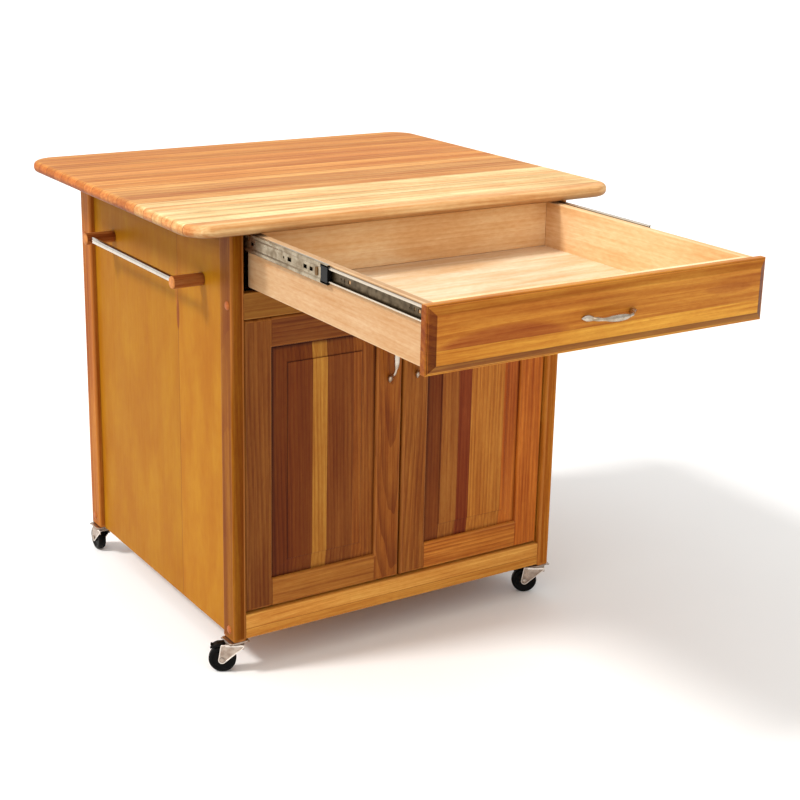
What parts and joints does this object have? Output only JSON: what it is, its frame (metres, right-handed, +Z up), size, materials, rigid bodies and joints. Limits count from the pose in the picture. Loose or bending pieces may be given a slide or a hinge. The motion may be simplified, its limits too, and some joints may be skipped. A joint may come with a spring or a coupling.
{
  "type": "kitchen island cart",
  "caption": "Rolling kitchen island with a butcher-block top, a deep full-extension drawer, raised-panel doors over a shelved cupboard, and a side towel bar.",
  "frame": {"origin": "on the floor under the middle of the bounding box, with the drawer open as at rest", "axes": "+X to the cart's right seen from the drawer side, +Y from the drawer side to the back, +Z up"},
  "size_m": [0.915, 1.33, 0.864],
  "materials": {
    "butcher_block": "oiled hardwood, satin",
    "post_wood": "lacquered hardwood, satin",
    "side_panel_wood": "lacquered veneer, satin",
    "rail_wood": "lacquered hardwood, satin",
    "inner_panel": "sealed plywood",
    "peg_wood": "stained hardwood, satin",
    "bar_chrome": "polished",
    "slide_steel": "zinc-plated, smooth",
    "drawer_front_wood": "lacquered hardwood, satin",
    "drawer_box_wood": "clear-sealed birch",
    "pull_nickel": "satin nickel plate",
    "door_wood": "lacquered hardwood, satin",
    "door_panel_wood": "lacquered hardwood, satin",
    "caster_zinc": "bright zinc plate",
    "caster_tyre": "black moulded nylon",
    "brake_black": "black moulded nylon"
  },
  "bodies": {
    "cabinet": {"butcher_block_top": "butcher_block", "post_front_left": "post_wood", "post_front_right": "post_wood", "post_rear_left": "post_wood", "post_rear_right": "post_wood", "side_panel_left": "side_panel_wood", "side_panel_right": "side_panel_wood", "back_panel": "side_panel_wood", "front_bottom_rail": "rail_wood", "front_drawer_rail": "rail_wood", "cabinet_floor": "inner_panel", "adjustable_shelf": "inner_panel", "towel_bar": "bar_chrome", "towel_bar_standoff_front": "peg_wood", "towel_bar_standoff_rear": "peg_wood", "slide_outer_left": "slide_steel", "slide_outer_right": "slide_steel", "hinge_arm_left_lower": "slide_steel", "hinge_arm_left_upper": "slide_steel", "hinge_arm_right_lower": "slide_steel", "hinge_arm_right_upper": "slide_steel", "caster_plate_front_left": "caster_zinc", "caster_plate_front_right": "caster_zinc", "caster_plate_rear_left": "caster_zinc", "caster_plate_rear_right": "caster_zinc"},
    "drawer": {"drawer_front": "drawer_front_wood", "drawer_side_left": "drawer_box_wood", "drawer_side_right": "drawer_box_wood", "drawer_box_front": "drawer_box_wood", "drawer_back": "drawer_box_wood", "drawer_bottom": "drawer_box_wood", "drawer_pull": "pull_nickel", "slide_inner_left": "slide_steel", "slide_inner_right": "slide_steel"},
    "slide_middle_left_member": {"slide_middle_left": "slide_steel"},
    "slide_middle_right_member": {"slide_middle_right": "slide_steel"},
    "door_left": {"door_left_hinge_stile": "door_wood", "door_left_lock_stile": "door_wood", "door_left_top_rail": "door_wood", "door_left_bottom_rail": "door_wood", "door_left_panel": "door_panel_wood", "door_left_pull": "pull_nickel"},
    "door_right": {"door_right_hinge_stile": "door_wood", "door_right_lock_stile": "door_wood", "door_right_top_rail": "door_wood", "door_right_bottom_rail": "door_wood", "door_right_panel": "door_panel_wood", "door_right_pull": "pull_nickel"},
    "caster_front_left": {"caster_fork_front_left": "caster_zinc"},
    "wheel_front_left": {"caster_wheel_front_left": "caster_tyre"},
    "brake_front_left": {"brake_lever_front_left": "brake_black"},
    "caster_front_right": {"caster_fork_front_right": "caster_zinc"},
    "wheel_front_right": {"caster_wheel_front_right": "caster_tyre"},
    "brake_front_right": {"brake_lever_front_right": "brake_black"},
    "caster_rear_left": {"caster_fork_rear_left": "caster_zinc"},
    "wheel_rear_left": {"caster_wheel_rear_left": "caster_tyre"},
    "brake_rear_left": {"brake_lever_rear_left": "brake_black"},
    "caster_rear_right": {"caster_fork_rear_right": "caster_zinc"},
    "wheel_rear_right": {"caster_wheel_rear_right": "caster_tyre"},
    "brake_rear_right": {"brake_lever_rear_right": "brake_black"}
  },
  "joints": [
    {"name": "door_left_hinge", "type": "hinge", "parent": "cabinet", "child": "door_left", "pos_m": [-0.33775, -0.062, 0.4], "axis": [0, 0, -1], "range_deg": [0, 95]},
    {"name": "door_right_hinge", "type": "hinge", "parent": "cabinet", "child": "door_right", "pos_m": [0.33775, -0.062, 0.4], "axis": [0, 0, 1], "range_deg": [0, 95]},
    {"name": "drawer_slide", "type": "slide", "parent": "cabinet", "child": "drawer", "axis": [0, -1, 0], "range_m": [-0.574, 0.01]},
    {"name": "slide_follow_left", "type": "slide", "parent": "cabinet", "child": "slide_middle_left_member", "axis": [0, -1, 0], "range_m": [-0.30709, 0.00535]},
    {"name": "slide_follow_right", "type": "slide", "parent": "cabinet", "child": "slide_middle_right_member", "axis": [0, -1, 0], "range_m": [-0.30709, 0.00535]},
    {"name": "swivel_front_left", "type": "hinge", "parent": "cabinet", "child": "caster_front_left", "pos_m": [-0.352, -0.048, 0.0572], "axis": [0, 0, 1], "continuous": true},
    {"name": "wheel_roll_front_left", "type": "hinge", "parent": "caster_front_left", "child": "wheel_front_left", "pos_m": [-0.37278, -0.036, 0.026], "axis": [-0.5, -0.866, 0], "continuous": true},
    {"name": "lever_brake_front_left", "type": "hinge", "parent": "caster_front_left", "child": "brake_front_left", "pos_m": [-0.37625, -0.034, 0.0547], "axis": [-0.5, -0.866, 0], "range_deg": [0, 5]},
    {"name": "swivel_front_right", "type": "hinge", "parent": "cabinet", "child": "caster_front_right", "pos_m": [0.352, -0.048, 0.0572], "axis": [0, 0, 1], "continuous": true},
    {"name": "wheel_roll_front_right", "type": "hinge", "parent": "caster_front_right", "child": "wheel_front_right", "pos_m": [0.33122, -0.036, 0.026], "axis": [-0.5, -0.866, 0], "continuous": true},
    {"name": "lever_brake_front_right", "type": "hinge", "parent": "caster_front_right", "child": "brake_front_right", "pos_m": [0.32775, -0.034, 0.0547], "axis": [-0.5, -0.866, 0], "range_deg": [0, 5]},
    {"name": "swivel_rear_left", "type": "hinge", "parent": "cabinet", "child": "caster_rear_left", "pos_m": [-0.352, 0.588, 0.0572], "axis": [0, 0, 1], "continuous": true},
    {"name": "wheel_roll_rear_left", "type": "hinge", "parent": "caster_rear_left", "child": "wheel_rear_left", "pos_m": [-0.35116, 0.61199, 0.026], "axis": [-0.9994, 0.0349, 0], "continuous": true},
    {"name": "lever_brake_rear_left", "type": "hinge", "parent": "caster_rear_left", "child": "brake_rear_left", "pos_m": [-0.35102, 0.61598, 0.0547], "axis": [-0.9994, 0.0349, 0], "range_deg": [0, 5]},
    {"name": "swivel_rear_right", "type": "hinge", "parent": "cabinet", "child": "caster_rear_right", "pos_m": [0.352, 0.588, 0.0572], "axis": [0, 0, 1], "continuous": true},
    {"name": "wheel_roll_rear_right", "type": "hinge", "parent": "caster_rear_right", "child": "wheel_rear_right", "pos_m": [0.364, 0.60878, 0.026], "axis": [-0.866, 0.5, 0], "continuous": true},
    {"name": "lever_brake_rear_right", "type": "hinge", "parent": "caster_rear_right", "child": "brake_rear_right", "pos_m": [0.366, 0.61225, 0.0547], "axis": [-0.866, 0.5, 0], "range_deg": [0, 5]}
  ],
  "couplings": [
    {"joint": "slide_follow_left", "follows": "drawer_slide", "ratio": 0.535},
    {"joint": "slide_follow_right", "follows": "drawer_slide", "ratio": 0.535}
  ]
}
